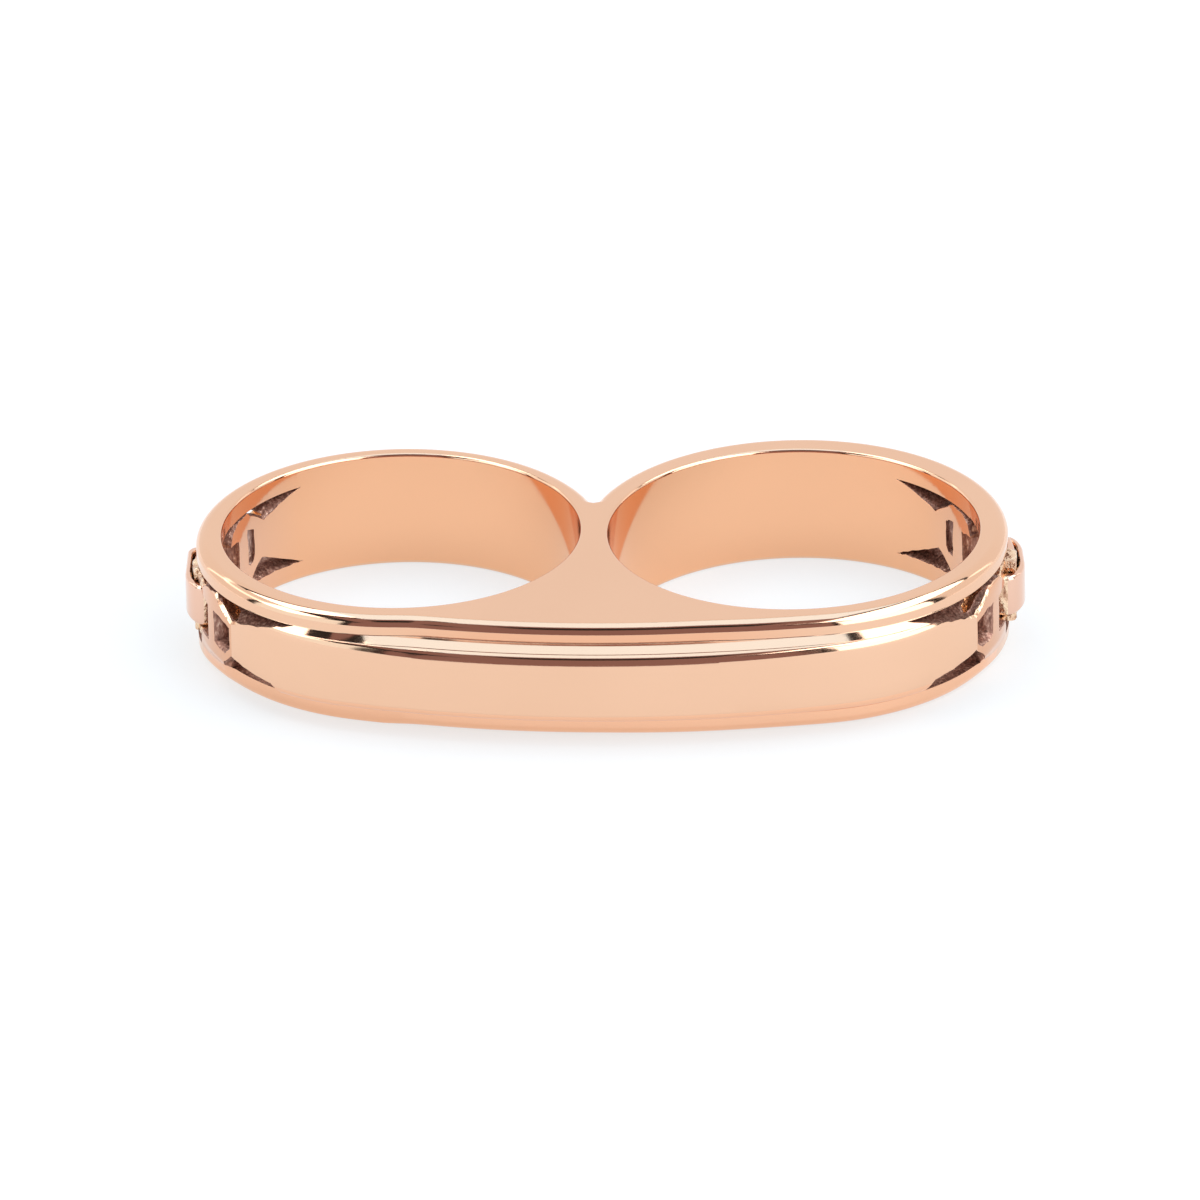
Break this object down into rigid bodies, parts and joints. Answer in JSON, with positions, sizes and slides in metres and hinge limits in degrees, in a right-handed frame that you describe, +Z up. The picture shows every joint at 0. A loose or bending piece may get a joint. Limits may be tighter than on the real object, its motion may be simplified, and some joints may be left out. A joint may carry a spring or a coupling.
{
  "type": "knuckle ring",
  "caption": "Two-finger knuckle ring in polished rose gold with a raised front panel between two rims and pierced anchor-chain sides, lying on its side.",
  "frame": {"origin": "centre of the bottom of the bounding box, on the rim edges that the ring rests on", "axes": "+X from the smaller finger hole to the larger one, -Y out of the knuckle bar, +Z up along both finger holes"},
  "size_m": [0.0388, 0.0216, 0.0056],
  "materials": {
    "rose_gold": "polished",
    "link_gold": "polished"
  },
  "bodies": {
    "root": {"band": "rose_gold", "side_link_left": "link_gold", "side_link_right": "link_gold"}
  },
  "joints": []
}
